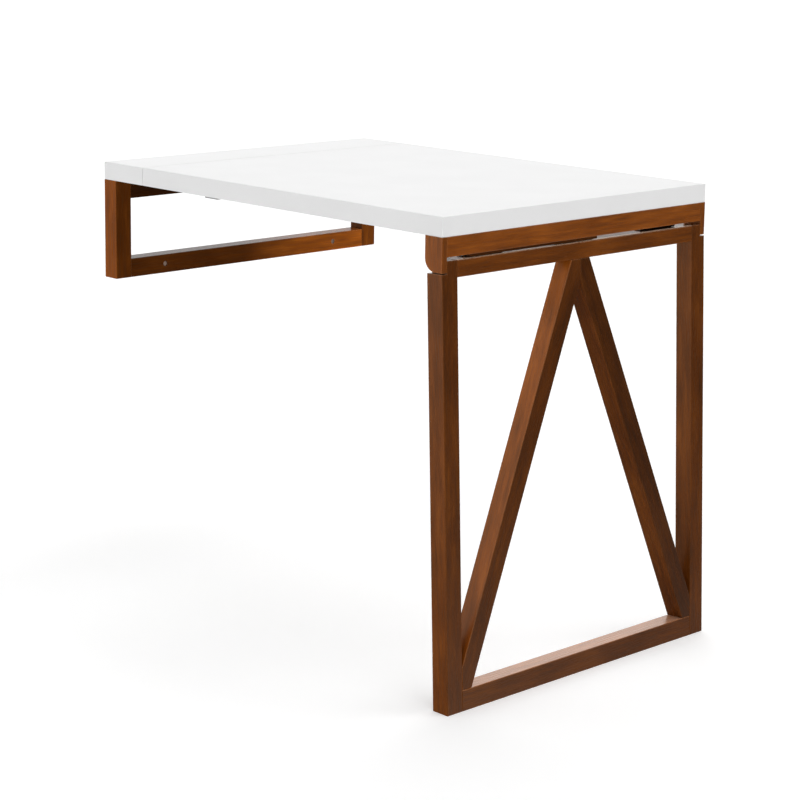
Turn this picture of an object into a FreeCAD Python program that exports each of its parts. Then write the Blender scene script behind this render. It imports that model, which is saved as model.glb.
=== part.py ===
import FreeCAD, Part
import math
import os
import re
import Sketcher

# Wall mounted drop leaf table: a shelf strip on a small wall frame, a leaf hinged to the strip's
# underside, and a braced leg frame hinged under the leaf's outer end. It is drawn set up for use,
# in millimetres. The origin is on the wall, in the middle of the four wall fixings.
# +X leads into the room, +Y along the wall, +Z up.

SIZES = {
    # the whole table
    "table_width": 600,
    "table_height": 750,
    "top_thickness": 30,
    "timber": 32,
    "edge_ease": 0.8,
    "fit_clearance": 0.05,
    "running_clearance": 0.3,
    "cut_overrun": 2,
    # shelf strip and seam
    "shelf_depth": 105,
    "seam_gap": 1,
    "shelf_screw_inset": 45,
    "shelf_screw_radius": 2,
    "shelf_screw_grip": 18,
    "shelf_screw_sink_depth": 10,
    "pan_head_radius": 4,
    "pan_head_height": 2.6,
    # wall frame
    "wall_frame_height": 168,
    "wall_fixing_inset": 105,
    "wall_hole_radius": 2.75,
    "wall_sink_radius": 4.5,
    "wall_sink_depth": 5,
    # dowels of the two frames
    "dowel_radius": 4,
    "dowel_length": 40,
    "dowel_spread": 16,
    "dowel_end_gap": 0.5,
    # hinges: back flaps under the seam, narrow butts at the leg
    "hinge_length": 80,
    "hinge_inset": 100,
    "hinge_screw_spread": 56,
    "hinge_pin_radius": 1.5,
    "plate_thickness": 1.5,
    "leaf_barrel_radius": 4,
    "leaf_plate_width": 34,
    "leaf_hinge_screw_grip": 18,
    "leg_barrel_radius": 3,
    "leg_plate_width": 14,
    "leg_hinge_screw_grip": 10,
    "small_screw_radius": 1.5,
    "small_head_radius": 3,
    # apron board and its two cheeks
    "board_thickness": 12,
    "apron_height": 30,
    "hinge_gap": 6,
    "cheek_thickness": 10,
    "cheek_radius": 20,
    "cheek_clearance": 1,
    "shoulder_gap": 2.5,
    "small_dowel_radius": 3,
    "small_dowel_length": 28,
    "apron_dowel_inset": 65,
    "cheek_dowel_spread": 16,
    # leg frame; the splay is in degrees, and the room is left between the folded feet and the seam
    "leg_splay": 2.5,
    "leg_rail_height": 26,
    "fold_room": 5,
    "brace_width": 32,
    "brace_top_half": 21,
    "brace_heel": 35,
    # magnetic catch for the folded leg, with its strike plate on the near brace
    "catch_inset": 115,
    "catch_length": 33,
    "catch_width": 28,
    "catch_web": 5,
    "catch_screw_spread": 23,
    "catch_screw_grip": 14,
    "magnet_length": 14,
    "magnet_width": 10,
    "magnet_height": 9,
    "pole_thickness": 1.5,
    "pole_proud": 0.5,
    "strike_length": 24,
    "strike_width": 16,
    "strike_screw_spread": 14,
}

# the crown of a pan head is this share of its seat
PAN_CROWN_SHARE = 0.75
# knuckles along one hinge, and hinges along one joint
KNUCKLES = 5
HINGES = 3
SIDES = {"near": -1, "far": 1}

# Levels and places worked out from the sizes.
# Those of the leg are in its own frame, with its hinge axis at zero.
DERIVED = {
    "shelf_under": "wall_frame_height / 2",
    "table_top": "shelf_under + top_thickness",
    "floor_level": "table_top - table_height",
    "half_width": "table_width / 2",
    "post_inner": "half_width - timber",
    "wall_rail_mid": "wall_frame_height / 2 - timber / 2",
    "wall_fixing_spread": "table_width - 2 * wall_fixing_inset",
    "shelf_screw_spread": "2 * (post_inner - shelf_screw_inset)",
    "hinge_spread": "table_width - 2 * hinge_inset",
    "apron_dowel_spread": "table_width - 2 * (cheek_thickness + apron_dowel_inset)",
    "leaf_start": "shelf_depth + seam_gap",
    "leaf_hinge_offset": "leaf_barrel_radius + running_clearance",
    "leaf_hinge_x": "shelf_depth + seam_gap / 2",
    "leaf_hinge_z": "shelf_under - leaf_hinge_offset",
    "apron_bottom": "shelf_under - apron_height",
    "leg_hinge_offset": "leg_barrel_radius + running_clearance",
    "leg_hinge_z": "apron_bottom - hinge_gap + leg_hinge_offset",
    "leg_drop": "leg_hinge_z - floor_level",
    "leg_reach": "leg_drop / cos(leg_splay * 1 deg)",
    "leg_outer": "board_thickness + leg_hinge_offset",
    "folded_length": "leg_reach + leg_outer * tan(leg_splay * 1 deg) + fold_room",
    "leg_hinge_x": "leaf_start + folded_length",
    "table_length": "leg_hinge_x + leg_outer",
    "cheek_start": "leg_hinge_x - cheek_radius",
    "leg_inner": "leg_outer - timber",
    "leg_mid": "leg_outer - timber / 2",
    "rail_top": "-leg_hinge_offset",
    "rail_under": "rail_top - leg_rail_height",
    "foot_rail_top": "timber - leg_reach",
    "brace_run": "post_inner - brace_top_half",
    "brace_rise": "rail_under - foot_rail_top - brace_heel",
    "brace_across": "brace_width * sqrt(brace_run * brace_run + brace_rise * brace_rise) / brace_rise",
    "brace_toe": "brace_across - brace_heel * brace_run / brace_rise",
    "folded_back": "leg_hinge_z - leg_inner",
    "strike_top": "folded_back + plate_thickness",
    "catch_under": "strike_top + running_clearance + pole_proud",
    "catch_middle_x": "leaf_start + catch_inset",
    "catch_reach": "folded_length - catch_inset",
    "brace_outer_y": "brace_top_half + (catch_reach + rail_under) * brace_run / brace_rise",
    "catch_middle_y": "brace_across / 2 - brace_outer_y",
    "magnet_top": "catch_under + magnet_height",
}

doc = FreeCAD.newDocument("drop_leaf_table")
sheet = doc.addObject("Spreadsheet::Sheet", "sizes")
for row, (alias, value) in enumerate(SIZES.items(), start=1):
    sheet.set(f"A{row}", alias)
    sheet.set(f"B{row}", str(value))
    sheet.setAlias(f"B{row}", alias)
doc.recompute()

subparts = []


def formula(text):
    """A document expression from a sum in plain size names."""
    def name(match):
        word = match.group(0)
        if word in SIZES:
            return f"sizes.{word}"
        if word in DERIVED:
            return f"({formula(DERIVED[word])})"
        return word
    return re.sub(r"[a-z_]+", name, str(text))


def turn(axis, angle):
    x, y, z = axis
    return f"rotation(vector({x}; {y}; {z}); {formula(angle)})"


STRAIGHT = turn((0, 0, 1), 0)
HEAD_DOWN = turn((1, 0, 0), 180)
HEAD_INWARD = turn((0, 1, 0), -90)
ALONG_Y = turn((1, 0, 0), -90)
ALONG_X = turn((0, 1, 0), 90)


def at(x, y, z, rotation=STRAIGHT):
    return f"placement(vector({formula(x)}; {formula(y)}; {formula(z)}); {rotation})"


LEG_PLACE = at("leg_hinge_x", 0, "leg_hinge_z", turn((0, 1, 0), "-leg_splay"))


def new_body(label, place=None):
    body = doc.addObject("PartDesign::Body", label)
    body.Label = label
    body.AllowCompound = True
    if place:
        body.setExpression("Placement", place)
    subparts.append(body)
    return body


def add(body, kind, place, **sizes):
    """One primitive of a body, added or cut away, with its sizes bound to the sheet."""
    feature = body.newObject(f"PartDesign::{kind}", f"{body.Label}_{kind}")
    for prop, text in sizes.items():
        feature.setExpression(prop, formula(text))
    feature.setExpression("Placement", place)
    return feature


def span(low, high):
    return f"({high}) - ({low})"


def block(body, kind, x, y, z):
    """A box between pairs of levels."""
    return add(body, kind, at(x[0], y[0], z[0]), Length=span(*x), Width=span(*y), Height=span(*z))


def rod(body, kind, place, radius, low, high):
    """A cylinder along the third axis of a place, between two levels of it."""
    return add(body, kind, f"{place} * {at(0, 0, low)}", Radius=radius, Height=span(low, high))


def cone(body, kind, place, low_radius, high_radius, low, high):
    """A tapered rod, with a radius at each of its two levels."""
    return add(body, kind, f"{place} * {at(0, 0, low)}", Radius1=low_radius, Radius2=high_radius,
               Height=span(low, high))


def ease_edges(body, base):
    """Take the sharp arris off a sawn piece."""
    eased = body.newObject("PartDesign::Chamfer", f"{body.Label}_eased")
    eased.Base = (base, ["Edge1"])
    eased.UseAllEdges = True
    eased.setExpression("Size", formula("edge_ease"))


def eased_block(label, x, y, z, place=None):
    body = new_body(label, place)
    ease_edges(body, block(body, "AdditiveBox", x, y, z))
    return body


def outline(body, plane_role, corners):
    """A closed sketch of straight lines, each corner held by two bound distances from the origin."""
    sketch = body.newObject("Sketcher::SketchObject", f"{body.Label}_outline")
    plane = [item for item in body.Origin.OriginFeatures if item.Role == plane_role][0]
    sketch.AttachmentSupport = [(plane, "")]
    sketch.MapMode = "FlatFace"
    count = len(corners)
    starts = []
    for index in range(count):
        angle = 2 * math.pi * index / count
        starts.append(FreeCAD.Vector(math.cos(angle), math.sin(angle), 0))
    for index in range(count):
        sketch.addGeometry(Part.LineSegment(starts[index], starts[(index + 1) % count]), False)
    for index in range(count):
        sketch.addConstraint(Sketcher.Constraint("Coincident", index, 2, (index + 1) % count, 1))
    for index, corner in enumerate(corners):
        first = starts[index]
        for kind, begin, text in (("DistanceX", first.x, corner[0]), ("DistanceY", first.y, corner[1])):
            number = sketch.addConstraint(Sketcher.Constraint(kind, -1, 1, index, 1, begin))
            sketch.setExpression(f"Constraints[{number}]", formula(text))
    return sketch


def around(middle, size):
    """A pair of levels on both sides of a middle."""
    return (f"{middle} - ({size}) / 2", f"{middle} + ({size}) / 2")


def row_shares(count):
    """Shares of a spread that set out an even row about its middle."""
    return [index / (count - 1) - 1 / 2 for index in range(count)]


def between(side, low, high):
    """A pair of levels across the width, mirrored for the near side."""
    return (low, high) if side > 0 else (f"-({high})", f"-({low})")


# Fasteners

def screws(label, places, radius, grip, seat_radius, crown_radius, head_height, body_place=None):
    """A group of screws. Each place is the head's seat, with its third axis pointing out of the wood."""
    body = new_body(label, body_place)
    for place in places:
        rod(body, "AdditiveCylinder", place, radius, f"-({grip})", 0)
        cone(body, "AdditiveCone", place, seat_radius, crown_radius, 0, head_height)


def screw_holes(body, places, radius, grip):
    for place in places:
        end = f"-({grip}) - dowel_end_gap"
        rod(body, "SubtractiveCylinder", place, f"{radius} + fit_clearance", end, "cut_overrun")


def countersinks(plate, places):
    """Tapered holes for flush screws through a plate."""
    for place in places:
        cone(plate, "SubtractiveCone", place, "small_screw_radius + fit_clearance",
             "small_head_radius + fit_clearance", 0, "plate_thickness")


def dowels(label, places, radius, length, body_place=None):
    """A group of dowels. Each place is where the two joined pieces meet."""
    body = new_body(label, body_place)
    for place in places:
        rod(body, "AdditiveCylinder", place, radius, f"-({length}) / 2", f"{length} / 2")


def dowel_holes(body, places, radius, length):
    for place in places:
        end = f"({length}) / 2 + dowel_end_gap"
        rod(body, "SubtractiveCylinder", place, f"{radius} + fit_clearance", f"-({end})", end)


def rail_dowel_places(side, depth_mid, level):
    """The pair of dowels where one end of a rail butts against its post."""
    depths = [f"{depth_mid} + {share} * dowel_spread" for share in row_shares(2)]
    return [at(depth, f"{side} * post_inner", level, ALONG_Y) for depth in depths]


# Hinges. A plate is drawn with the pin along its second axis, the plate along +X and its seat facing +Z.

def hinge_screw_places(barrel, width, offset):
    """Seats of the three screws of one plate, in the plate's own frame."""
    line = f"({barrel} + running_clearance + {width}) / 2"
    return [at(line, f"{share} * hinge_screw_spread", offset, HEAD_DOWN) for share in row_shares(3)]


def hinge_plate(label, place, barrel, width, offset, first_knuckle):
    body = new_body(label, place)
    sketch = body.newObject("Sketcher::SketchObject", f"{label}_profile")
    plane = [item for item in body.Origin.OriginFeatures if item.Role == "XZ_Plane"][0]
    sketch.AttachmentSupport = [(plane, "")]
    sketch.MapMode = "FlatFace"
    # rough start of the rolled profile, in parts of the barrel's radius
    unit = SIZES[barrel]
    top = FreeCAD.Vector(0, unit, 0)
    seat = FreeCAD.Vector(0, unit + SIZES["running_clearance"], 0)
    tip = FreeCAD.Vector(SIZES[width], seat.y, 0)
    tip_under = FreeCAD.Vector(tip.x, seat.y - SIZES["plate_thickness"], 0)
    root = FreeCAD.Vector(math.sqrt(unit ** 2 - tip_under.y ** 2), tip_under.y, 0)
    circle = Part.Circle(FreeCAD.Vector(0, 0, 0), FreeCAD.Vector(0, 0, 1), unit)
    sketch.addGeometry(Part.LineSegment(top, seat), False)
    sketch.addGeometry(Part.LineSegment(seat, tip), False)
    sketch.addGeometry(Part.LineSegment(tip, tip_under), False)
    sketch.addGeometry(Part.LineSegment(tip_under, root), False)
    arc_end = 2 * math.pi + math.atan2(root.y, root.x)
    sketch.addGeometry(Part.ArcOfCircle(circle, math.pi / 2, arc_end), False)
    for first, second in ((0, 1), (1, 2), (2, 3)):
        sketch.addConstraint(Sketcher.Constraint("Coincident", first, 2, second, 1))
    sketch.addConstraint(Sketcher.Constraint("Coincident", 4, 1, 0, 1))
    sketch.addConstraint(Sketcher.Constraint("Coincident", 4, 2, 3, 2))
    sketch.addConstraint(Sketcher.Constraint("Coincident", 4, 3, -1, 1))
    for line, direction in ((0, "Vertical"), (1, "Horizontal"), (2, "Vertical"), (3, "Horizontal")):
        sketch.addConstraint(Sketcher.Constraint(direction, line))
    sketch.addConstraint(Sketcher.Constraint("PointOnObject", 0, 1, -2))
    bound = (
        (Sketcher.Constraint("Radius", 4, unit), barrel),
        (Sketcher.Constraint("DistanceY", -1, 1, 1, 1, seat.y), offset),
        (Sketcher.Constraint("DistanceX", -1, 1, 1, 2, tip.x), width),
        (Sketcher.Constraint("DistanceY", 2, 2, 2, 1, tip.y - tip_under.y), "plate_thickness"),
    )
    for constraint, text in bound:
        number = sketch.addConstraint(constraint)
        sketch.setExpression(f"Constraints[{number}]", formula(text))
    rolled = body.newObject("PartDesign::Pad", f"{label}_rolled")
    rolled.Profile = sketch
    rolled.Midplane = True
    rolled.setExpression("Length", formula("hinge_length"))
    # room for the other plate's knuckles
    for knuckle in range(1 - first_knuckle, KNUCKLES, 2):
        low = f"hinge_length * {knuckle} / {KNUCKLES} - hinge_length / 2 - running_clearance / 2"
        high = f"hinge_length * {knuckle + 1} / {KNUCKLES} - hinge_length / 2 + running_clearance / 2"
        reach = f"{barrel} + cut_overrun"
        block(body, "SubtractiveBox", (f"-({reach})", f"{barrel} + running_clearance"), (low, high),
              (f"-({reach})", f"{offset} + cut_overrun"))
    rod(body, "SubtractiveCylinder", at(0, 0, 0, ALONG_Y), "hinge_pin_radius + fit_clearance",
        *around(0, "hinge_length + cut_overrun"))
    countersinks(body, hinge_screw_places(barrel, width, offset))


def hinge_pin(label, place):
    body = new_body(label, place)
    rod(body, "AdditiveCylinder", at(0, 0, 0, ALONG_Y), "hinge_pin_radius", *around(0, "hinge_length"))


LEAF_HINGE = ("leaf_barrel_radius", "leaf_plate_width", "leaf_hinge_offset")
LEG_HINGE = ("leg_barrel_radius", "leg_plate_width", "leg_hinge_offset")
SHELF_SIDE = turn((0, 0, 1), 180)
BOARD_SIDE = turn((1, 0, 1), 180)
RAIL_SIDE = turn((0, 1, 0), 180)


def hinge_row(axis_x, axis_z, rotation):
    """Where the hinges of one joint stand, for plates turned one way."""
    return [at(axis_x, f"{share} * hinge_spread", axis_z, rotation) for share in row_shares(HINGES)]


def plate_screw_places(row, hinge):
    return [f"{place} * {seat}" for place in row for seat in hinge_screw_places(*hinge)]


def flush_screws(label, places, grip, body_place=None):
    screws(label, places, "small_screw_radius", grip, "small_screw_radius", "small_head_radius",
           "plate_thickness", body_place)


shelf_plate_row = hinge_row("leaf_hinge_x", "leaf_hinge_z", SHELF_SIDE)
leaf_plate_row = hinge_row("leaf_hinge_x", "leaf_hinge_z", STRAIGHT)
board_plate_row = hinge_row("leg_hinge_x", "leg_hinge_z", BOARD_SIDE)
rail_plate_row = hinge_row(0, 0, RAIL_SIDE)
shelf_plate_seats = plate_screw_places(shelf_plate_row, LEAF_HINGE)
leaf_plate_seats = plate_screw_places(leaf_plate_row, LEAF_HINGE)
board_plate_seats = plate_screw_places(board_plate_row, LEG_HINGE)
rail_plate_seats = plate_screw_places(rail_plate_row, LEG_HINGE)

# Wall frame: two short posts with a rail butted between them at the top and at the bottom

frame_depth = (0, "timber")
wall_dowel_places = {}
for name, side in SIDES.items():
    places = []
    for level in ("wall_rail_mid", "-(wall_rail_mid)"):
        places += rail_dowel_places(side, "timber / 2", level)
    wall_dowel_places[name] = places
    post = eased_block(f"wall_post_{name}", frame_depth, between(side, "post_inner", "half_width"),
                       ("-wall_frame_height / 2", "wall_frame_height / 2"))
    dowel_holes(post, places, "dowel_radius", "dowel_length")
all_wall_dowels = wall_dowel_places["near"] + wall_dowel_places["far"]

shelf_screw_places = []
for share in row_shares(4):
    seat_level = "shelf_under - timber + shelf_screw_sink_depth"
    shelf_screw_places.append(at("timber / 2", f"{share} * shelf_screw_spread", seat_level, HEAD_DOWN))
shelf_screw_length = "timber - shelf_screw_sink_depth + shelf_screw_grip"

for name, level in (("top", "wall_rail_mid"), ("bottom", "-(wall_rail_mid)")):
    rail = eased_block(f"wall_{name}_rail", frame_depth, ("-(post_inner)", "post_inner"),
                       (f"{level} - timber / 2", f"{level} + timber / 2"))
    dowel_holes(rail, all_wall_dowels, "dowel_radius", "dowel_length")
    for side in SIDES.values():
        fixing = at("timber", f"{side} * wall_fixing_spread / 2", level, ALONG_X)
        through = "-timber - cut_overrun"
        rod(rail, "SubtractiveCylinder", fixing, "wall_hole_radius", through, "cut_overrun")
        rod(rail, "SubtractiveCylinder", fixing, "wall_sink_radius", "-wall_sink_depth", "cut_overrun")
    if name == "top":
        screw_holes(rail, shelf_screw_places, "shelf_screw_radius", shelf_screw_length)
        for place in shelf_screw_places:
            rod(rail, "SubtractiveCylinder", place, "pan_head_radius + cheek_clearance", 0,
                "shelf_screw_sink_depth + cut_overrun")

dowels("wall_frame_dowels", all_wall_dowels, "dowel_radius", "dowel_length")

# Shelf strip on top of the wall frame, held by screws from below

top_span = ("shelf_under", "table_top")
full_width = ("-half_width", "half_width")
shelf = eased_block("fixed_shelf", (0, "shelf_depth"), full_width, top_span)
screw_holes(shelf, shelf_screw_places, "shelf_screw_radius", shelf_screw_length)
screw_holes(shelf, shelf_plate_seats, "small_screw_radius", "leaf_hinge_screw_grip")
screws("shelf_screws", shelf_screw_places, "shelf_screw_radius", shelf_screw_length, "pan_head_radius",
       f"pan_head_radius * {PAN_CROWN_SHARE}", "pan_head_height")

# Leaf, apron board and cheeks

board_top_dowels = []
for share in row_shares(4):
    across = f"{share} * apron_dowel_spread"
    board_top_dowels.append(at("table_length - board_thickness / 2", across, "shelf_under"))
cheek_mid = "(cheek_start + table_length) / 2"
cheek_dowels = {}
for name, side in SIDES.items():
    across = f"{side} * (half_width - cheek_thickness / 2)"
    depths = [f"{cheek_mid} + {share} * cheek_dowel_spread" for share in row_shares(2)]
    cheek_dowels[name] = [at(depth, across, "shelf_under") for depth in depths]
all_apron_dowels = board_top_dowels + cheek_dowels["near"] + cheek_dowels["far"]

catch_screw_places = []
for share in row_shares(2):
    along = f"catch_middle_x + {share} * catch_screw_spread"
    catch_screw_places.append(at(along, "catch_middle_y", "shelf_under - catch_web", HEAD_DOWN))
catch_screw_length = "catch_web + catch_screw_grip"

leaf = eased_block("leaf_panel", ("leaf_start", "table_length"), full_width, top_span)
dowel_holes(leaf, all_apron_dowels, "small_dowel_radius", "small_dowel_length")
screw_holes(leaf, leaf_plate_seats, "small_screw_radius", "leaf_hinge_screw_grip")
screw_holes(leaf, catch_screw_places, "small_screw_radius", catch_screw_length)

board_span = ("-half_width + cheek_thickness", "half_width - cheek_thickness")
board = eased_block("apron_board", ("table_length - board_thickness", "table_length"), board_span,
                    ("apron_bottom", "shelf_under"))
dowel_holes(board, board_top_dowels, "small_dowel_radius", "small_dowel_length")
screw_holes(board, board_plate_seats, "small_screw_radius", "leg_hinge_screw_grip")

# each cheek ends below in a quarter round about the leg's hinge axis, and the post's shoulder swings past it
for name, side in SIDES.items():
    cheek = new_body(f"cheek_{name}")
    blank = block(cheek, "AdditiveBox", ("cheek_start", "table_length"),
                  between(side, "half_width - cheek_thickness", "half_width"),
                  ("leg_hinge_z - cheek_radius", "shelf_under"))
    doc.recompute()
    low_inner = [f"Edge{number}" for number, edge in enumerate(blank.Shape.Edges, start=1)
                 if edge.BoundBox.XMax - blank.Shape.BoundBox.XMin < SIZES["fit_clearance"]
                 and edge.BoundBox.ZMax - blank.Shape.BoundBox.ZMin < SIZES["fit_clearance"]]
    rounded = cheek.newObject("PartDesign::Fillet", f"cheek_{name}_quarter_round")
    rounded.Base = (blank, low_inner)
    rounded.setExpression("Radius", formula("cheek_radius"))
    dowel_holes(cheek, cheek_dowels[name], "small_dowel_radius", "small_dowel_length")

dowels("apron_dowels", all_apron_dowels, "small_dowel_radius", "small_dowel_length")

# Magnetic catch under the leaf, where the near brace comes to lie when the leg is folded

magnet_x = around("catch_middle_x", "magnet_length")
magnet_y = around("catch_middle_y", "magnet_width")
housing = eased_block("catch_housing", around("catch_middle_x", "catch_length"),
                      around("catch_middle_y", "catch_width"), ("catch_under", "shelf_under"))
stack_width = "magnet_width + 2 * pole_thickness"
block(housing, "SubtractiveBox", around("catch_middle_x", "magnet_length + 2 * fit_clearance"),
      around("catch_middle_y", f"{stack_width} + 2 * fit_clearance"),
      ("catch_under - cut_overrun", "magnet_top + fit_clearance"))
screw_holes(housing, catch_screw_places, "small_screw_radius", catch_screw_length)
for place in catch_screw_places:
    rod(housing, "SubtractiveCylinder", place, "small_head_radius + fit_clearance", 0, "timber")

magnet = new_body("catch_magnet")
block(magnet, "AdditiveBox", magnet_x, magnet_y, ("catch_under", "magnet_top"))
poles = new_body("catch_pole_plates")
pole_y = ((f"{magnet_y[0]} - pole_thickness", magnet_y[0]), (magnet_y[1], f"{magnet_y[1]} + pole_thickness"))
for span_y in pole_y:
    block(poles, "AdditiveBox", magnet_x, span_y, ("catch_under - pole_proud", "magnet_top"))
screws("catch_screws", catch_screw_places, "small_screw_radius", catch_screw_length, "small_head_radius",
       f"small_head_radius * {PAN_CROWN_SHARE}", "pan_head_height")

# Leg frame, drawn square about its hinge axis and then leant out by the splay, with its feet cut level

leg_depth = ("leg_inner", "leg_outer")
blank_foot = "-(leg_reach) - timber"


def level_foot(body):
    """Cut the foot off level with the floor."""
    unsplay = at(0, 0, 0, turn((0, 1, 0), "leg_splay"))
    floor_block = at("-timber * 2", "-half_width - cut_overrun", "-(leg_drop) - timber * 2")
    add(body, "SubtractiveBox", f"{unsplay} * {floor_block}", Length="timber * 4",
        Width="table_width + cut_overrun * 2", Height="timber * 2")


leg_rail_levels = ("rail_top - leg_rail_height / 2", "foot_rail_top - timber / 2")
leg_dowel_places = {}
brace_dowel_places = {}
for name, side in SIDES.items():
    places = []
    for level in leg_rail_levels:
        places += rail_dowel_places(side, "leg_mid", level)
    leg_dowel_places[name] = places
    brace_dowel_places[name] = [
        at("leg_mid", f"{side} * brace_top_half / 2", "rail_under"),
        at("leg_mid", f"{side} * (post_inner - (brace_toe) / 2)", "foot_rail_top"),
    ]
    post = eased_block(f"leg_post_{name}", leg_depth, between(side, "post_inner", "half_width"),
                       (blank_foot, "rail_top"), LEG_PLACE)
    level_foot(post)
    notch = between(side, "half_width - cheek_thickness - cheek_clearance", "half_width + cut_overrun")
    block(post, "SubtractiveBox", ("leg_inner - cut_overrun", "leg_outer + cut_overrun"), notch,
          ("-cheek_radius - shoulder_gap", "rail_top + cut_overrun"))
    dowel_holes(post, places, "dowel_radius", "dowel_length")
all_rail_dowels = leg_dowel_places["near"] + leg_dowel_places["far"]
all_brace_dowels = brace_dowel_places["near"] + brace_dowel_places["far"]

rail_span = ("-(post_inner)", "post_inner")
top_rail = eased_block("leg_top_rail", leg_depth, rail_span, ("rail_under", "rail_top"), LEG_PLACE)
screw_holes(top_rail, rail_plate_seats, "small_screw_radius", "leg_hinge_screw_grip")
foot_rail_span = (blank_foot, "foot_rail_top")
bottom_rail = eased_block("leg_bottom_rail", leg_depth, rail_span, foot_rail_span, LEG_PLACE)
level_foot(bottom_rail)
for rail in (top_rail, bottom_rail):
    dowel_holes(rail, all_rail_dowels, "dowel_radius", "dowel_length")
    dowel_holes(rail, all_brace_dowels, "small_dowel_radius", "small_dowel_length")

strike_seats = []
for share in row_shares(2):
    level = f"{share} * strike_screw_spread - catch_reach"
    strike_seats.append(at("leg_inner", "catch_middle_y", level, HEAD_INWARD))

# two braces lean together under the top rail, mitred on the middle, with their toes in the lower corners
for name, side in SIDES.items():
    brace = new_body(f"leg_brace_{name}", LEG_PLACE)
    corners = [
        (0, "rail_under"),
        (f"{side} * brace_top_half", "rail_under"),
        (f"{side} * post_inner", "foot_rail_top + brace_heel"),
        (f"{side} * post_inner", "foot_rail_top"),
        (f"{side} * (post_inner - brace_toe)", "foot_rail_top"),
        (0, "rail_under - (brace_across - brace_top_half) * brace_rise / brace_run"),
    ]
    sketch = outline(brace, "YZ_Plane", corners)
    sketch.setExpression("AttachmentOffset.Base.z", formula("leg_inner"))
    sawn = brace.newObject("PartDesign::Pad", f"leg_brace_{name}_sawn")
    sawn.Profile = sketch
    sawn.setExpression("Length", formula("timber"))
    ease_edges(brace, sawn)
    dowel_holes(brace, brace_dowel_places[name], "small_dowel_radius", "small_dowel_length")
    if name == "near":
        screw_holes(brace, strike_seats, "small_screw_radius", "leg_hinge_screw_grip")

dowels("leg_rail_dowels", all_rail_dowels, "dowel_radius", "dowel_length", LEG_PLACE)
dowels("leg_brace_dowels", all_brace_dowels, "small_dowel_radius", "small_dowel_length", LEG_PLACE)

strike = new_body("catch_strike", LEG_PLACE)
block(strike, "AdditiveBox", ("leg_inner - plate_thickness", "leg_inner"),
      around("catch_middle_y", "strike_width"), around("-catch_reach", "strike_length"))
countersinks(strike, strike_seats)
flush_screws("catch_strike_screws", strike_seats, "leg_hinge_screw_grip", LEG_PLACE)

# Hinges with their pins and screws

for number in range(HINGES):
    shown = number + 1
    hinge_plate(f"leaf_hinge_shelf_plate_{shown}", shelf_plate_row[number], *LEAF_HINGE, 0)
    hinge_plate(f"leaf_hinge_leaf_plate_{shown}", leaf_plate_row[number], *LEAF_HINGE, 1)
    hinge_pin(f"leaf_hinge_pin_{shown}", shelf_plate_row[number])
    hinge_plate(f"leg_hinge_board_plate_{shown}", board_plate_row[number], *LEG_HINGE, 0)
    hinge_plate(f"leg_hinge_rail_plate_{shown}", f"{LEG_PLACE} * {rail_plate_row[number]}", *LEG_HINGE, 1)
    hinge_pin(f"leg_hinge_pin_{shown}", board_plate_row[number])
flush_screws("leaf_hinge_shelf_screws", shelf_plate_seats, "leaf_hinge_screw_grip")
flush_screws("leaf_hinge_leaf_screws", leaf_plate_seats, "leaf_hinge_screw_grip")
flush_screws("leg_hinge_board_screws", board_plate_seats, "leg_hinge_screw_grip")
flush_screws("leg_hinge_rail_screws", rail_plate_seats, "leg_hinge_screw_grip", LEG_PLACE)

# Check every object, then write one file for each sub-part

doc.recompute()
for item in doc.Objects:
    if "Invalid" in item.State or "Error" in item.State:
        raise RuntimeError(f"{item.Label} did not build: {item.State}")
os.makedirs("parts", exist_ok=True)
for body in subparts:
    if body.Shape.isNull() or not body.Shape.isValid():
        raise RuntimeError(f"{body.Label} has no valid shape")
for body in subparts:
    body.Shape.exportStep(f"parts/{body.Label}.step")
    print(f"{body.Label}: {len(body.Shape.Solids)} solids, {body.Shape.Volume / 1000:.2f} cm3")
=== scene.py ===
# %% [markdown]
# # A wall mounted drop leaf table
# The CAD frame already has every rigid piece of this table in its right place: the white panels,
# the stained timbers, the hinges, the screws and the catch. This lesson gives each of them the
# surface that the real material has, adds a few small pieces, and sets up a studio and a camera like
# those of a catalogue picture.

# %% Load the CAD frame
import math

import bmesh
import bpy
from mathutils import Matrix, Vector


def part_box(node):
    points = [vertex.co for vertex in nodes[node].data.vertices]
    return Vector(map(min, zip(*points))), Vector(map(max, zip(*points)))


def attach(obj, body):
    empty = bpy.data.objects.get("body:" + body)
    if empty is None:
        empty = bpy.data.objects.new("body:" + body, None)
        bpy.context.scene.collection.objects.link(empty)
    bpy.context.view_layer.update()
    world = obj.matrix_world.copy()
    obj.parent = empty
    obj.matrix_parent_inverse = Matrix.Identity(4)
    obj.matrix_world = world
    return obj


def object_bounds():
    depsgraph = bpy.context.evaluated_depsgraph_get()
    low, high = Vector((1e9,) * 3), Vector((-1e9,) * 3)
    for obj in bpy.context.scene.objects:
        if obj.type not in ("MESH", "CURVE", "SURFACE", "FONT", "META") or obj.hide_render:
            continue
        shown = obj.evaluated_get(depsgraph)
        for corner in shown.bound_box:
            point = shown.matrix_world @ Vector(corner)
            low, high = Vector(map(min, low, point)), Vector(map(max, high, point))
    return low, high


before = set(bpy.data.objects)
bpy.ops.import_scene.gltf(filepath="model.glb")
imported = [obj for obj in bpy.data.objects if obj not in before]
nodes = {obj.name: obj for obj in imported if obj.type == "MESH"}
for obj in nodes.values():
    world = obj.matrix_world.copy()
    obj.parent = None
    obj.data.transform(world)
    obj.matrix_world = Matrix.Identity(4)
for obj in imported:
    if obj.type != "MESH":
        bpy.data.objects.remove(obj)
cad_low, cad_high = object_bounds()
MM = 0.001
print(f"{len(nodes)} CAD nodes, box {[round(v, 3) for v in cad_high - cad_low]} m")

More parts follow.
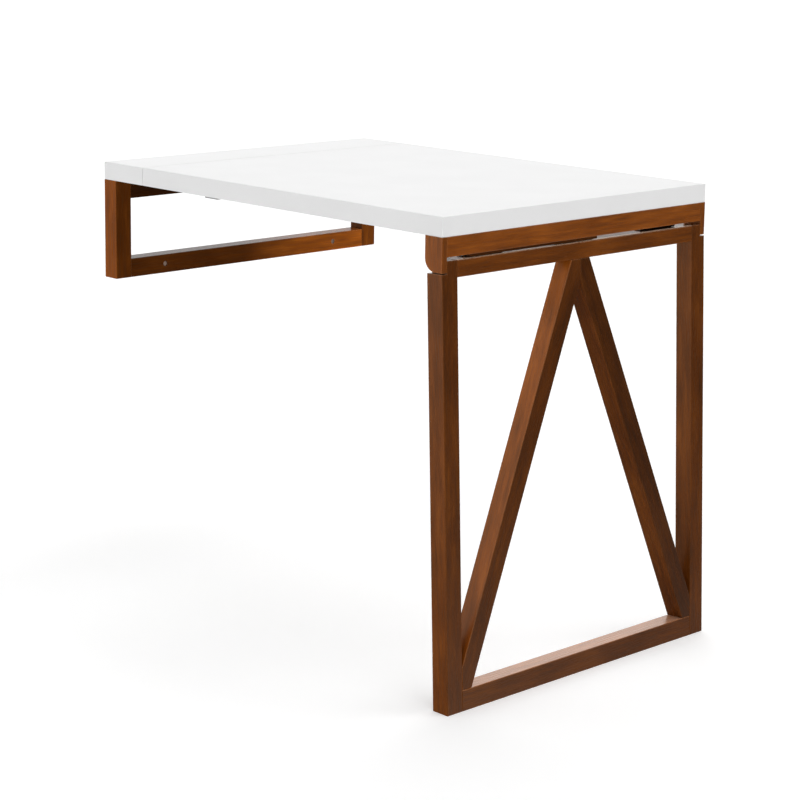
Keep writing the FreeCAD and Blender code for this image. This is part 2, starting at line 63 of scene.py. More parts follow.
# %% [markdown]
# ## Small helpers for materials
# Colours are written the way a picture editor shows them, as sRGB hex values. Blender's shaders work
# with linear light, so one function converts them. A second function adds one shader node with its
# settings and links. Nodes could also be placed by hand in the shader editor, but in code every value
# has a name, and thirteen sticks can share one recipe.

# %% Colour and node helpers


def linear(hex_value):
    """A linear colour from an sRGB hex value such as '8A4B2A'."""
    channels = [int(hex_value[place:place + 2], 16) / 255 for place in (0, 2, 4)]
    light = [c / 12.92 if c <= 0.04045 else ((c + 0.055) / 1.055) ** 2.4 for c in channels]
    return (*light, 1.0)


def add_node(owner, kind, inputs=None, stops=(), **settings):
    """One shader node. An input is a value, or a (node, output name) pair to link from.

    A colour ramp also gets its stops, as pairs of a position and a linear colour."""
    node = owner.node_tree.nodes.new(kind)
    for name, value in settings.items():
        setattr(node, name, value)
    for name, value in (inputs or {}).items():
        socket = node.inputs[name]
        if isinstance(value, tuple) and isinstance(value[0], bpy.types.Node):
            owner.node_tree.links.new(value[0].outputs[value[1]], socket)
        else:
            socket.default_value = value
    for number, (position, colour) in enumerate(stops):
        elements = node.color_ramp.elements
        element = elements[number] if number < len(elements) else elements.new(position)
        element.position, element.color = position, colour
    return node


print(f"mid grey 808080 is {linear('808080')[0]:.3f} in linear light")

# %% [markdown]
# ## Starting and closing a material
# Every finish here ends in one Principled shader, which covers wood, plastic and metal alike. So a
# material starts empty, gets its own nodes, and is closed by that shader. A CAD node keeps its mesh and
# only has its material slots filled.

# %% Material helpers


def new_material(name):
    """A material without nodes yet."""
    material = bpy.data.materials.new(name)
    material.use_nodes = True
    material.node_tree.nodes.clear()
    return material


def finish_material(material, shader_inputs):
    """Close a material with its surface shader."""
    shader = add_node(material, "ShaderNodeBsdfPrincipled", shader_inputs)
    add_node(material, "ShaderNodeOutputMaterial", {"Surface": (shader, "BSDF")})
    return material


def dress(material, *node_names):
    """Put a material on CAD nodes, in every slot they have."""
    for name in node_names:
        for slot in nodes[name].material_slots:
            slot.material = material
    print(f"{material.name}: {len(node_names)} nodes")


print(f"{sum(len(node.material_slots) for node in nodes.values())} material slots to fill")

# %% [markdown]
# ## Walnut stained hardwood: the grain
# The timbers are a close-grained hardwood, planed, stained walnut brown and sprayed with satin lacquer.
# The stain gathers in the pores, so the eye sees fine dark lines along each stick, a wider figure, and
# slow changes of depth from end to end. An image of wood could do this, but it would not follow each
# stick. Noise in object coordinates does: it is turned to the direction that the stick was sawn along,
# stretched that way, and scaled in millimetres.

# %% Grain of a stick
STAIN_DARK = "492407"
STAIN_MIDDLE = "643209"
STAIN_LIGHT = "7B4211"
STAIN_STOPS = ((0.35, linear(STAIN_DARK)), (0.5, linear(STAIN_MIDDLE)), (0.65, linear(STAIN_LIGHT)))
# Each layer has a width across the grain, a stretch along it, and a detail.
# Fibres are about 0.3 mm wide. They are drawn at 1.4 mm, because finer ones would not show here.
GRAIN_LAYERS = {
    "fibres": (1.4 * MM, 26, 3.0),
    "figure": (7 * MM, 12, 3.0),
    "blotches": (60 * MM, 2, 2.0),
}
LAYER_ROUGHNESS = 0.55
FIGURE_SHARE = 0.5
BLOTCH_SHARE = 0.35
# Steps from one stick's place in the noise to the next one's, so that no two sticks are alike.
SEED_STEPS = (0.37, 0.61, 1.0)


def sawn_grain(material, surface, grain_axis, seed):
    """The stain's colour on a stick, with the grain and the fibres that gloss and bump follow."""
    turn = Vector((0, 0, 1)).rotation_difference(Vector(grain_axis)).inverted().to_euler()
    stick_place = add_node(material, "ShaderNodeMapping",
                           {"Vector": (surface, "Object"), "Rotation": turn,
                            "Location": [seed * step for step in SEED_STEPS]})
    layers = {}
    for layer, (width, stretch, detail) in GRAIN_LAYERS.items():
        drawn = add_node(material, "ShaderNodeMapping",
                         {"Vector": (stick_place, "Vector"),
                          "Scale": (1 / width, 1 / width, 1 / width / stretch)})
        layers[layer] = add_node(material, "ShaderNodeTexNoise",
                                 {"Vector": (drawn, "Vector"), "Scale": 1.0, "Detail": detail,
                                  "Roughness": LAYER_ROUGHNESS})
    fibres = layers["fibres"]
    grain = add_node(material, "ShaderNodeMix",
                     {"Factor": FIGURE_SHARE, "A": (fibres, "Fac"), "B": (layers["figure"], "Fac")})
    tone = add_node(material, "ShaderNodeMix",
                    {"Factor": BLOTCH_SHARE, "A": (grain, "Result"), "B": (layers["blotches"], "Fac")})
    stain = add_node(material, "ShaderNodeValToRGB", {"Fac": (tone, "Result")}, stops=STAIN_STOPS)
    return stain, grain, fibres


for layer, (width, stretch, _) in GRAIN_LAYERS.items():
    print(f"{layer}: {width / MM:.1f} mm wide, {width * stretch / MM:.0f} mm long")

# %% [markdown]
# ## Walnut stained hardwood: the arrises
# Sanding cuts through the stain on every arris, which leaves a thin lighter line there, and it tells the
# eye that the timber is solid. The line could be painted with a mask for each stick. The Bevel node finds it
# without one: it gives the normal that a rounded edge would have, and where that leaves the flat normal
# there is an arris.

# %% Sanded arrises
SANDED_ARRIS = "9A6238"
SANDED_SHARE = 0.6
ARRIS_REACH = 1.6 * MM
ARRIS_SAMPLES = 4
# How well the rounded and the flat normal agree where an arris begins, and where it is fullest.
ARRIS_BEGINS = 0.98
ARRIS_FULL = 0.75
# A Mix node lists its sockets for numbers, vectors and colours in turn. These are the colour ones.
COLOUR_A, COLOUR_B, COLOUR_OUT = 6, 7, 2


def sanded_arrises(material, stain):
    """The stain thinned on the arrises, with the mask of the arrises and the rounded normal."""
    rounded = add_node(material, "ShaderNodeBevel", {"Radius": ARRIS_REACH}, samples=ARRIS_SAMPLES)
    flat = add_node(material, "ShaderNodeNewGeometry")
    agreement = add_node(material, "ShaderNodeVectorMath",
                         {0: (rounded, "Normal"), 1: (flat, "Normal")}, operation="DOT_PRODUCT")
    arris = add_node(material, "ShaderNodeMapRange",
                     {"Value": (agreement, "Value"), "From Min": ARRIS_BEGINS, "From Max": ARRIS_FULL})
    sanded = add_node(material, "ShaderNodeMath",
                      {0: (arris, "Result"), 1: SANDED_SHARE}, operation="MULTIPLY")
    thinned = add_node(material, "ShaderNodeMix",
                       {"Factor": (sanded, "Value"), COLOUR_A: (stain, "Color"),
                        COLOUR_B: linear(SANDED_ARRIS)}, data_type="RGBA")
    return thinned, arris, rounded


print(f"arrises show for {ARRIS_REACH / MM:.1f} mm")

# %% [markdown]
# ## Walnut stained hardwood: tone and painted light
# Each stick has its own tone, and each pair of its faces a number on top of that. The difference between
# faces is painted light and shade: a face is paler or darker because of how the light falls on it. This
# could be painted by hand as vertex colours, but a plain stick has vertices only at its corners. So the
# normal says which face it is. Along one rail the colour also fades, with painted shade at one end and
# painted light at the other, and the place along the stick says how far along that fade.

# %% Tone and painted light


def tone_and_painted_light(material, surface, face_tones_and_light, light_fade):
    """A stick's tone with painted light: one number for each pair of faces, faded along Y where a fade is
    given.
    """
    # The squares of a normal's parts add up to one, so they blend the numbers of three pairs of faces.
    squares = add_node(material, "ShaderNodeVectorMath",
                       {0: (surface, "Normal"), 1: (surface, "Normal")}, operation="MULTIPLY")
    tone_and_light = add_node(material, "ShaderNodeVectorMath",
                     {0: (squares, "Vector"), 1: face_tones_and_light}, operation="DOT_PRODUCT")
    if not light_fade:
        return tone_and_light
    # A fade along the stick is painted shade at one end and painted light at the other.
    begins, ends, shade_end_tone, lit_end_tone = light_fade
    along = add_node(material, "ShaderNodeSeparateXYZ", {"Vector": (surface, "Object")})
    painted_light_along = add_node(material, "ShaderNodeMapRange",
                        {"Value": (along, "Y"), "From Min": begins, "From Max": ends,
                         "To Min": shade_end_tone, "To Max": lit_end_tone})
    return add_node(material, "ShaderNodeMath",
                    {0: (tone_and_light, "Value"), 1: (painted_light_along, "Result")}, operation="MULTIPLY")


# The three numbers hold a stick's tone and the painted light on its faces along X, Y and Z.
print("three depths of stain for a stick, for its faces along X, Y and Z")

# %% [markdown]
# ## Walnut stained hardwood: wear and painted highlights
# Arrises that look up are painted paler, towards the colour of bare wood: partly wiping and rubbing, and
# partly painted highlight where they catch the light. A top that shoes or a stop touch goes pale as well,
# partly worn and partly painted with the reflection and highlight that a glancing view of it shows. This
# could be one more noise, but it is not random: it depends on which way a surface looks, so the upward part
# of the normal sets it. A distance from the wall keeps it to one side of a top where only that side is
# touched.

# %% Wear and painted highlights on tops and arrises
# The colour of bare wood, for wear and for painted highlight and reflection.
BARE_WOOD_AND_HIGHLIGHT = "F4DCC4"
WEAR_AND_HIGHLIGHT_FADE = 3 * MM
# How far up a rounded arris has to look before it is painted paler, and how far for the most.
ARRIS_LOOKS_UP = (0.15, 0.45)
# The same for a flat top.
TOP_LOOKS_UP = (0.9, 0.97)


def worn_and_highlit_wood(material, surface, colour, arris, rounded, wear_and_highlight):
    """Paler wood for wear and painted highlight: its share on upper arrises, on the top, and where the top's
    begins.
    """
    edge_wear_and_highlight, top_wear_and_highlight, top_wear_and_highlight_from = wear_and_highlight
    stick_round = add_node(material, "ShaderNodeVectorTransform", {"Vector": (rounded, "Normal")},
                           vector_type="NORMAL", convert_from="WORLD", convert_to="OBJECT")
    round_facing = add_node(material, "ShaderNodeSeparateXYZ", {"Vector": (stick_round, "Vector")})
    upper_arris_wear_and_highlight = add_node(material, "ShaderNodeMapRange",
                      {"Value": (round_facing, "Z"), "From Min": ARRIS_LOOKS_UP[0],
                       "From Max": ARRIS_LOOKS_UP[1], "To Max": edge_wear_and_highlight})
    arris_wear_and_highlight = add_node(material, "ShaderNodeMath",
                          {0: (arris, "Result"), 1: (upper_arris_wear_and_highlight, "Result")}, operation="MULTIPLY")
    place_parts = add_node(material, "ShaderNodeSeparateXYZ", {"Vector": (surface, "Object")})
    top_wear_and_highlight_reach = add_node(material, "ShaderNodeMapRange",
                         {"Value": (place_parts, "X"), "From Min": top_wear_and_highlight_from,
                          "From Max": top_wear_and_highlight_from + WEAR_AND_HIGHLIGHT_FADE, "To Max": top_wear_and_highlight})
    facing = add_node(material, "ShaderNodeSeparateXYZ", {"Vector": (surface, "Normal")})
    top_wear_and_highlight_mask = add_node(material, "ShaderNodeMapRange",
                        {"Value": (facing, "Z"), "From Min": TOP_LOOKS_UP[0],
                         "From Max": TOP_LOOKS_UP[1], "To Max": (top_wear_and_highlight_reach, "Result")})
    wear_and_highlight_share = add_node(material, "ShaderNodeMath",
                    {0: (arris_wear_and_highlight, "Value"), 1: (top_wear_and_highlight_mask, "Result")}, operation="MAXIMUM")
    return add_node(material, "ShaderNodeMix",
                    {"Factor": (wear_and_highlight_share, "Value"), COLOUR_A: (colour, "Vector"),
                     COLOUR_B: linear(BARE_WOOD_AND_HIGHLIGHT)}, data_type="RGBA")


# Over this distance a top's wear and painted highlight fade in.
print(f"wear fades over {WEAR_AND_HIGHLIGHT_FADE / MM:.0f} mm")

# %% [markdown]
# ## Walnut stained hardwood: the whole finish
# Stain, wear and painted light give the colour, and satin lacquer lies over them. Open pores stay a little
# rougher than the smooth wood between them, so roughness follows the grain, and a shallow bump follows the
# fibres.
# The lacquer has yellowed, which warms what it reflects. A separate clear coat could be laid on top, but
# thin lacquer soaks in, and the shader's own specular layer looks more like it.

# %% Stained timber
AMBER_LACQUER = "FFCBA0"
GRAIN_RANGE = (0.35, 0.65)
PORE_ROUGHNESS = 0.32
SMOOTH_ROUGHNESS = 0.22
FIBRE_BUMP = 0.12
FIBRE_HEIGHT = 0.15 * MM


def stained_timber(name, grain_axis, seed, face_tones_and_light, lacquer_ior, wear_and_highlight, light_fade=None):
    """Stained and lacquered hardwood, with its grain along a direction."""
    material = new_material(name)
    surface = add_node(material, "ShaderNodeTexCoord")
    stain, grain, fibres = sawn_grain(material, surface, grain_axis, seed)
    thinned, arris, rounded = sanded_arrises(material, stain)
    # Each face's tone holds painted light and shade as well as the stick's own tone.
    tone_and_light = tone_and_painted_light(material, surface, face_tones_and_light, light_fade)
    toned_and_lit = add_node(material, "ShaderNodeVectorMath",
                     {0: (thinned, COLOUR_OUT), "Scale": (tone_and_light, "Value")}, operation="SCALE")
    # Paler wood on upper arrises and some tops is partly wear and partly painted highlight and reflection.
    colour = worn_and_highlit_wood(material, surface, toned_and_lit, arris, rounded, wear_and_highlight)
    gloss = add_node(material, "ShaderNodeMapRange",
                     {"Value": (grain, "Result"), "From Min": GRAIN_RANGE[0], "From Max": GRAIN_RANGE[1],
                      "To Min": PORE_ROUGHNESS, "To Max": SMOOTH_ROUGHNESS})
    bump = add_node(material, "ShaderNodeBump",
                    {"Height": (fibres, "Fac"), "Strength": FIBRE_BUMP, "Distance": FIBRE_HEIGHT})
    return finish_material(material, {"Base Color": (colour, COLOUR_OUT), "Roughness": (gloss, "Result"),
                                      "Normal": (bump, "Normal"), "IOR": lacquer_ior,
                                      "Specular Tint": linear(AMBER_LACQUER)})


print(f"lacquer roughness {SMOOTH_ROUGHNESS} on smooth wood, {PORE_ROUGHNESS} in pores")

# %% [markdown]
# ## Timber on every stick
# Each stick says which way it was sawn, how pale its faces that look along X, Y and Z are, where a higher
# number is a paler face, and how full its lacquer is. These numbers hold the stick's own tone and painted
# light: a face that the light falls on more strongly is paler, and the wall frame's top rail, in the shade
# under the white top, is darker all over. Wear and painted highlight come last: upper arrises go paler on
# every stick, shoes rub the foot rail's top, which also gets a painted reflection of the bright studio, and
# the outer side of the leg's top rail closes against its stop and gets a painted bright line of light. The
# wall frame's lower rail is painted darker at its near end, in the shade of the leaf, and paler towards its
# far end, where the light reaches it. One material for all would be shorter, but real sticks come from
# different boards. A leaning stick's direction is read from its own box, corner to corner.

# %% Dress the timbers
UPRIGHT = (0, 0, 1)
ACROSS = (0, 1, 0)
# The lacquer's IOR, about 1.45 where it is full, and less where it is thin and has soaked in.
THIN_LACQUER = 1.2
FULL_LACQUER = 1.45
STOP_WEAR_AND_HIGHLIGHT_WIDTH = 10 * MM
# The share of bare wood colour on upper arrises and on the top, for wear and painted highlight, and how far
# from the wall the top's begins.
# Upper arrises on every stick are a little paler, partly wear and partly painted highlight.
ARRIS_WEAR_AND_HIGHLIGHT = (0.15, 0, 0)
# The foot rail's pale top is partly rubbing by shoes and partly a painted reflection of the bright studio.
SHOE_WEAR_AND_REFLECTION = (0.25, 0.22, 0)
# The leg's top rail gets a bright line along its outer top, partly rubbing by the stop and partly painted
# highlight.
STOP_WEAR_AND_HIGHLIGHT = (1.0, 1.0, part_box("leg_top_rail")[1].x - STOP_WEAR_AND_HIGHLIGHT_WIDTH)
# Where the rail's painted shade turns to painted light along Y, and how pale it is before and after.
PAINTED_LIGHT_FADE = {"wall_bottom_rail": (-20 * MM, 240 * MM, 0.62, 3.5)}


def leaning(name, foot, head):
    """The direction of a stick from one corner of its box to another."""
    low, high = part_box(name)
    return Vector([(high[i] - low[i]) * (head[i] - foot[i]) for i in range(3)]).normalized()


post_near_lean = leaning("leg_post_near", (1, 0, 0), (0, 0, 1))
post_far_lean = leaning("leg_post_far", (1, 0, 0), (0, 0, 1))
brace_near_lean = leaning("leg_brace_near", (1, 0, 0), (0, 1, 1))
brace_far_lean = leaning("leg_brace_far", (1, 1, 0), (0, 0, 1))
# A face that the light falls on more strongly gets a paler number: painted light.
sticks = {
    "wall_post_near": (UPRIGHT, (0.6, 1.75, 1.0), THIN_LACQUER, ARRIS_WEAR_AND_HIGHLIGHT),
    "wall_post_far": (UPRIGHT, (1.4, 0.9, 1.0), THIN_LACQUER, ARRIS_WEAR_AND_HIGHLIGHT),
    # Darker all over: painted shade under the white top.
    "wall_top_rail": (ACROSS, (0.22, 0.22, 0.22), THIN_LACQUER, ARRIS_WEAR_AND_HIGHLIGHT),
    "wall_bottom_rail": (ACROSS, (0.85, 0.85, 0.6), THIN_LACQUER, ARRIS_WEAR_AND_HIGHLIGHT),
    "apron_board": (ACROSS, (1.5, 1.5, 1.2), FULL_LACQUER, ARRIS_WEAR_AND_HIGHLIGHT),
    "cheek_near": (UPRIGHT, (1.2, 1.75, 1.2), FULL_LACQUER, ARRIS_WEAR_AND_HIGHLIGHT),
    "cheek_far": (UPRIGHT, (1.2, 1.2, 1.2), FULL_LACQUER, ARRIS_WEAR_AND_HIGHLIGHT),
    "leg_post_near": (post_near_lean, (0.72, 1.12, 1.0), FULL_LACQUER, ARRIS_WEAR_AND_HIGHLIGHT),
    "leg_post_far": (post_far_lean, (0.75, 0.95, 1.0), FULL_LACQUER, ARRIS_WEAR_AND_HIGHLIGHT),
    "leg_top_rail": (ACROSS, (1.0, 1.0, 1.0), FULL_LACQUER, STOP_WEAR_AND_HIGHLIGHT),
    "leg_bottom_rail": (ACROSS, (0.68, 1.0, 2.2), FULL_LACQUER, SHOE_WEAR_AND_REFLECTION),
    "leg_brace_near": (brace_near_lean, (0.65, 2.0, 1.4), FULL_LACQUER, ARRIS_WEAR_AND_HIGHLIGHT),
    "leg_brace_far": (brace_far_lean, (0.45, 0.8, 0.8), FULL_LACQUER, ARRIS_WEAR_AND_HIGHLIGHT),
}
for number, (stick, (grain_axis, face_tones_and_light, lacquer, wear_and_highlight)) in enumerate(sticks.items()):
    timber = stained_timber(f"walnut_stained_hardwood_{stick}", grain_axis, number, face_tones_and_light, lacquer,
                            wear_and_highlight, PAINTED_LIGHT_FADE.get(stick))
    dress(timber, stick)

# %% [markdown]
# ## White laminate
# The shelf strip and the leaf are boards with a pressed white melamine face and a matching edge band.
# The face is almost plain. What tells it from paint is a satin sheen with a very fine pebble, and a
# white that varies by a hair over a hand's width. A flat white would look like plaster, so both come
# from noise, the pebble as bump as well.

# %% White melamine laminate
LAMINATE_WHITE = "EEEEEE"
LAMINATE_SHADE = "ECECEC"
LAMINATE_STOPS = ((0.35, linear(LAMINATE_SHADE)), (0.65, linear(LAMINATE_WHITE)))
LAMINATE_ROUGHNESS = (0.36, 0.46)
LAMINATE_IOR = 1.5
CLOUD = 90 * MM
CLOUD_DETAIL = 2.0
# The pebble is about 0.3 mm across and is drawn at 1.2 mm, so that the sheen still shows it.
PEBBLE = 1.2 * MM
PEBBLE_DETAIL = 1.0
PEBBLE_BUMP = 0.04
PEBBLE_HEIGHT = 0.05 * MM


def white_laminate():
    """Pressed melamine: an even white to the eye, with a soft broad sheen."""
    material = new_material("white_melamine_laminate")
    place = add_node(material, "ShaderNodeTexCoord")
    cloud = add_node(material, "ShaderNodeTexNoise",
                     {"Vector": (place, "Object"), "Scale": 1 / CLOUD, "Detail": CLOUD_DETAIL})
    white = add_node(material, "ShaderNodeValToRGB", {"Fac": (cloud, "Fac")}, stops=LAMINATE_STOPS)
    pebble = add_node(material, "ShaderNodeTexNoise",
                      {"Vector": (place, "Object"), "Scale": 1 / PEBBLE, "Detail": PEBBLE_DETAIL})
    gloss = add_node(material, "ShaderNodeMapRange",
                     {"Value": (pebble, "Fac"), "To Min": LAMINATE_ROUGHNESS[0],
                      "To Max": LAMINATE_ROUGHNESS[1]})
    bump = add_node(material, "ShaderNodeBump",
                    {"Height": (pebble, "Fac"), "Strength": PEBBLE_BUMP, "Distance": PEBBLE_HEIGHT})
    return finish_material(material, {"Base Color": (white, "Color"), "Roughness": (gloss, "Result"),
                                      "Normal": (bump, "Normal"), "IOR": LAMINATE_IOR})


dress(white_laminate(), "fixed_shelf", "leaf_panel")

# %% [markdown]
# ## Metal, plastic and dowels
# The hinges are steel painted nearly black, partly their dark finish and partly painted shade of the gap they
# sit in, the screws zinc plated steel, the catch a grey moulded plastic housing around a ferrite magnet, and
# the dowels turned beech. Each of these is small, so a fine speckle in colour and roughness is enough to
# keep a surface from looking like flat paint, and one recipe with different values serves them all.

# %% Speckled finish
SPECK_STOPS = (0.35, 0.65)
SPECK_DETAIL = 3.0
SPECK_HEIGHT = 0.1 * MM
SPECK_BUMP = 0.05
ROUGHNESS_SPREAD = 0.15


def speckled(name, dark, light, grain, roughness, metallic, bump_strength=SPECK_BUMP):
    """A small part's finish: two shades mixed by a fine noise, which also moves the roughness."""
    material = new_material(name)
    place = add_node(material, "ShaderNodeTexCoord")
    speck = add_node(material, "ShaderNodeTexNoise",
                     {"Vector": (place, "Object"), "Scale": 1 / grain, "Detail": SPECK_DETAIL})
    shade = add_node(material, "ShaderNodeValToRGB", {"Fac": (speck, "Fac")},
                     stops=zip(SPECK_STOPS, (linear(dark), linear(light))))
    gloss = add_node(material, "ShaderNodeMapRange",
                     {"Value": (speck, "Fac"), "To Min": roughness * (1 - ROUGHNESS_SPREAD),
                      "To Max": roughness * (1 + ROUGHNESS_SPREAD)})
    bump = add_node(material, "ShaderNodeBump",
                    {"Height": (speck, "Fac"), "Strength": bump_strength, "Distance": SPECK_HEIGHT})
    return finish_material(material, {"Base Color": (shade, "Color"), "Roughness": (gloss, "Result"),
                                      "Normal": (bump, "Normal"), "Metallic": metallic})


print(f"specks are drawn {SPECK_HEIGHT / MM:.1f} mm high")

# %% [markdown]
# ## Which part gets which finish
# The real crystals, pits and fibres are a tenth of a millimetre or less. They are drawn at 0.4 to 1.5 mm,
# because finer ones would not show here. Giving each part its own material by hand would work as well,
# but the nodes' names already say what they are, so they are picked by name.

# %% Small parts
# Hinge steel is nearly black, partly its dark finish and partly painted shade of the gap it sits in. It shows
# only where its edges catch the light.
dark_and_shaded_steel = speckled("dark_and_shaded_hinge_steel", "1C1612", "2A211B",
                   grain=0.8 * MM, roughness=0.42, metallic=1.0)
# Zinc plating is bright and slightly cloudy.
zinc = speckled("zinc_plated_steel", "A9A9A6", "C4C4C0",
                grain=0.5 * MM, roughness=0.32, metallic=1.0)
# Moulded plastic has a fine spark texture that takes away any clear reflection.
grey_plastic = speckled("moulded_grey_plastic", "8C8C8C", "9A9A9A",
                        grain=0.6 * MM, roughness=0.5, metallic=0.0)
# Sintered ferrite is charcoal grey, dull and slightly gritty.
ferrite = speckled("sintered_ferrite", "2B2B2D", "3A3A3C",
                   grain=0.4 * MM, roughness=0.65, metallic=0.0, bump_strength=0.2)
# Turned beech is pale and dry, with short flecks.
beech = speckled("turned_beech", "B98D5C", "D0A878",
                 grain=1.5 * MM, roughness=0.6, metallic=0.0)

screw_nodes = [name for name in nodes if "screws" in name]
hinge_screw_nodes = [name for name in screw_nodes if "hinge" in name]
hinge_nodes = [name for name in nodes if "hinge" in name and name not in screw_nodes]
dress(dark_and_shaded_steel, *hinge_nodes, *hinge_screw_nodes)
dress(zinc, *[name for name in screw_nodes if name not in hinge_screw_nodes],
      "catch_pole_plates", "catch_strike")
dress(grey_plastic, "catch_housing")
dress(ferrite, "catch_magnet")
dress(beech, *[name for name in nodes if "dowels" in name])

# %% [markdown]
# ## New pieces
# A piece that the CAD frame doesn't have is built as a bmesh, which can be shaped step by step before it
# becomes an object. It then gets its finish and has to say which body it moves with, so that it swings with
# the right body.

# %% Add a piece


def add_piece(name, shape, material, body):
    """A new piece from a bmesh, riding on one body."""
    mesh = bpy.data.meshes.new(name)
    shape.to_mesh(mesh)
    shape.free()
    mesh.materials.append(material)
    piece = bpy.data.objects.new(name, mesh)
    bpy.context.scene.collection.objects.link(piece)
    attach(piece, body)
    print(f"{name} rides on {body}")


# %% [markdown]
# ## Leg stop
# When the leg is swung out, its top rail has to close against something, or the hinges alone would take
# every knock. A strip of the same stained wood is glued under the apron, in front of the first two hinges,
# and leaves only a hair of light above the rail. Its stain is darker than the other sticks': painted shade
# of the gap under the apron. It is a planed strip with eased arrises. A curve with a bevel could draw it too,
# but a box with bevelled edges has its true shape at once.

# %% Leg stop strip
STOP_INSET = 2.0 * MM
STOP_DEPTH = 9.0 * MM
STOP_CLEARANCE = 1.2 * MM
STOP_EASE = 0.4 * MM
STOP_EASE_STEPS = 2
# A darker tone for the strip: painted shade in the gap under the apron.
STOP_SHADE_TONE = (0.4, 0.4, 0.4)

apron_low, apron_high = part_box("apron_board")
rail_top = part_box("leg_top_rail")[1].z
pins = sorted((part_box(f"leg_hinge_pin_{number}") for number in (1, 2, 3)), key=lambda box: box[0].y)
stop_low = Vector((apron_high.x - STOP_INSET - STOP_DEPTH, pins[0][0].y, rail_top + STOP_CLEARANCE))
stop_high = Vector((apron_high.x - STOP_INSET, pins[1][1].y, apron_low.z))
stop_size = stop_high - stop_low
stop = bmesh.new()
bmesh.ops.create_cube(stop, size=1.0, matrix=Matrix.Translation((stop_low + stop_high) / 2)
                      @ Matrix.Diagonal((*stop_size, 1.0)))
bmesh.ops.bevel(stop, geom=stop.edges[:], offset=STOP_EASE, segments=STOP_EASE_STEPS, profile=0.5,
                affect="EDGES")
stop_wood = stained_timber("walnut_stained_hardwood_leg_stop", ACROSS, len(sticks), STOP_SHADE_TONE,
                           THIN_LACQUER, ARRIS_WEAR_AND_HIGHLIGHT)
add_piece("leg_stop_strip", stop, stop_wood, "leaf")
print(f"leg stop {[round(v / MM, 1) for v in stop_size]} mm")

# %% [markdown]
# ## Caps in the wall fixing holes
# The wall screws sit in sunk holes, and a small moulded cap closes each of them. It lies a little below
# the wood, so it shows as a pale disc with a dark crescent of shade. A squashed sphere would do from afar,
# but a real cap has a crown, a rounded rim and a straight skirt. So a profile is drawn from its middle
# to its back and spun round the hole's axis.

# %% Fixing caps
CAP_RECESS = 1.3 * MM
# Radius and height of the profile's points, in millimetres.
CAP_PROFILE = [(0.0, 0.35), (2.2, 0.28), (3.5, 0.1), (4.1, -0.15), (4.3, -0.6), (4.3, -2.4), (0.0, -2.4)]
CAP_STEPS = 32
CAP_WELD = 0.001 * MM
FIXING_SPREAD_Y = 195 * MM
FIXING_SPREAD_Z = 68 * MM
# Moulded brown plastic has the same fine spark texture as the grey, and looks pale against the stain.
cap_plastic = speckled("moulded_brown_plastic", "7C6658", "8C7464",
                       grain=0.6 * MM, roughness=0.45, metallic=0.0)
rail_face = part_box("wall_bottom_rail")[1].x
for number, (side_y, side_z) in enumerate(((-1, -1), (1, -1), (-1, 1), (1, 1)), start=1):
    middle = Vector((rail_face - CAP_RECESS, side_y * FIXING_SPREAD_Y, side_z * FIXING_SPREAD_Z))
    cap = bmesh.new()
    profile = [cap.verts.new(middle + Vector((height * MM, radius * MM, 0)))
               for radius, height in CAP_PROFILE]
    edges = [cap.edges.new(pair) for pair in zip(profile, profile[1:])]
    bmesh.ops.spin(cap, geom=profile + edges, cent=middle, axis=(1, 0, 0), angle=2 * math.pi,
                   steps=CAP_STEPS, use_merge=True)
    bmesh.ops.remove_doubles(cap, verts=cap.verts[:], dist=CAP_WELD)
    bmesh.ops.recalc_face_normals(cap, faces=cap.faces[:])
    add_piece(f"wall_fixing_cap_{number}", cap, cap_plastic, "wall_frame")

# %% [markdown]
# ## Floor
# The picture has a white sweep that is almost overexposed, so the floor fades away and only a faint
# shadow at the feet tells where it is. A plain white plane would need far more light than the table can
# stand, so it glows a little as well. It is left out of reflections, because there the lacquer should
# show the studio's cards and not the floor.

# %% Floor
HALF_FLOOR = 20.0
FLOOR_GLOW = 0.265
FLOOR_WHITE = "F3F3F3"
FLOOR_ROUGHNESS = 0.9
floor_level = cad_low.z
floor_corners = [(-HALF_FLOOR, -HALF_FLOOR), (HALF_FLOOR, -HALF_FLOOR),
                 (HALF_FLOOR, HALF_FLOOR), (-HALF_FLOOR, HALF_FLOOR)]
floor_mesh = bpy.data.meshes.new("floor")
floor_mesh.from_pydata([(x, y, floor_level) for x, y in floor_corners], [], [(0, 1, 2, 3)])
floor = bpy.data.objects.new("floor", floor_mesh)
bpy.context.scene.collection.objects.link(floor)
# Matt white paper scatters light evenly and has no sheen.
floor_mesh.materials.append(finish_material(
    new_material("white_paper_sweep"),
    {"Base Color": linear(FLOOR_WHITE), "Roughness": FLOOR_ROUGHNESS, "Specular IOR Level": 0.0,
     "Emission Color": linear("FFFFFF"), "Emission Strength": FLOOR_GLOW}))
floor.visible_glossy = False
print(f"floor at {floor_level:.3f} m")

# %% [markdown]
# ## Light
# In a studio the table would stand among white cards and softboxes. Area lamps could stand for them, but
# here the world itself is the studio: each card or box is a soft round patch of brightness around a
# direction, and all of them add up. That keeps every shadow soft and costs little. The lamp side is the
# right, where one smaller and stronger box draws the feet's shadows.

# %% Light
VIEW_TURN = math.radians(43.849)
BEHIND = 180 - math.degrees(VIEW_TURN)
RIGHT = BEHIND - 90
LEFT = BEHIND + 90
FRONT = BEHIND + 180
DIM_ROOM = 0.08


def direction(turn, rise):
    """A unit direction from a compass turn and a rise, both in degrees."""
    turn, rise = math.radians(turn), math.radians(rise)
    return Vector((math.cos(rise) * math.cos(turn), math.cos(rise) * math.sin(turn), math.sin(rise)))


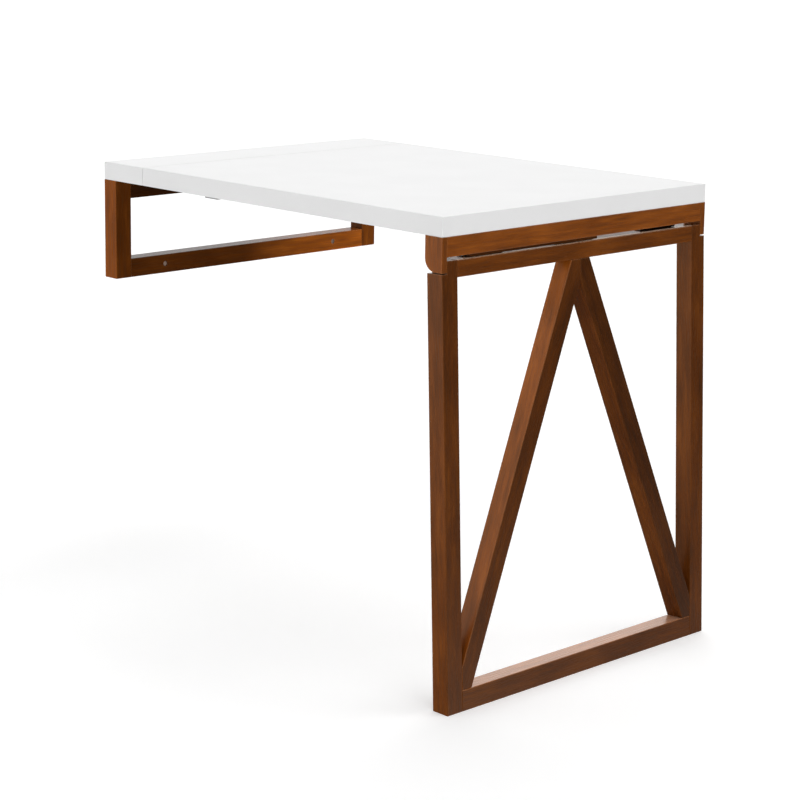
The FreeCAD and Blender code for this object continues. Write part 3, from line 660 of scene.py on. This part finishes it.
# Where each card is, how many degrees from its middle it is full and gone, and its strength.
studio_cards = {
    "white sweep": (direction(BEHIND, -5), 40, 65, 0.96),
    "back softbox": (direction(BEHIND, 42), 25, 33, 1.3),
    "left card": (direction(LEFT, 9), 10, 30, 1.75),
    "right floor": (direction(RIGHT, -42), 14, 28, 3.2),
    "overhead": (direction(0, 90), 30, 60, 0.44),
    "front fill": (direction(FRONT + 12, 40), 25, 55, 1.18),
    "lamp": (direction(RIGHT, 58), 8, 14, 4.5),
}
world = bpy.data.worlds.new("studio")
bpy.context.scene.world = world
world.use_nodes = True
world.node_tree.nodes.clear()
looking = add_node(world, "ShaderNodeTexCoord")
brightness = None
for towards, full, gone, strength in studio_cards.values():
    facing = add_node(world, "ShaderNodeVectorMath",
                      {0: (looking, "Generated"), 1: towards}, operation="DOT_PRODUCT")
    glow = add_node(world, "ShaderNodeMapRange",
                    {"Value": (facing, "Value"), "From Min": math.cos(math.radians(gone)),
                     "From Max": math.cos(math.radians(full)), "To Max": strength},
                    interpolation_type="SMOOTHSTEP")
    brightness = add_node(world, "ShaderNodeMath",
                          {0: (glow, "Result"), 1: (brightness, "Value") if brightness else DIM_ROOM})
background = add_node(world, "ShaderNodeBackground", {"Strength": (brightness, "Value")})
add_node(world, "ShaderNodeOutputWorld", {"Surface": (background, "Background")})
bpy.context.scene.view_settings.view_transform = "Standard"
print(f"{', '.join(studio_cards)} around the table")

# %% [markdown]
# ## Camera
# The camera stands well back with a long lens, to the near right of the table and a little above it, so
# that upright edges stay almost parallel. Aiming it with a Track To constraint would be easy, but could not
# give its small roll, so its three axes are worked out and set as a matrix.

# %% Camera
PICTURE_SIDE = 800
LENS_PIXELS = 2275.63
SENSOR_WIDTH = 36.0
VIEW_DOWN = math.radians(11.0)
VIEW_ROLL = math.radians(0.863)
CAMERA_PLACE = Vector((3.115, -2.5918, 0.5934))
PICTURE_RISE = -0.10

ahead = direction(BEHIND, -math.degrees(VIEW_DOWN))
side = ahead.cross(Vector((0, 0, 1))).normalized()
above = side.cross(ahead)
rolled_side = side * math.cos(VIEW_ROLL) + above * math.sin(VIEW_ROLL)
rolled_above = above * math.cos(VIEW_ROLL) - side * math.sin(VIEW_ROLL)
camera_data = bpy.data.cameras.new("camera")
camera_data.sensor_fit = "HORIZONTAL"
camera_data.sensor_width = SENSOR_WIDTH
camera_data.lens = LENS_PIXELS / PICTURE_SIDE * SENSOR_WIDTH
camera_data.shift_y = PICTURE_RISE
camera = bpy.data.objects.new("camera", camera_data)
camera_axes = Matrix((rolled_side, rolled_above, -ahead)).transposed().to_4x4()
camera.matrix_world = Matrix.Translation(CAMERA_PLACE) @ camera_axes
bpy.context.scene.collection.objects.link(camera)
bpy.context.scene.camera = camera
print(f"lens {camera_data.lens:.1f} mm")
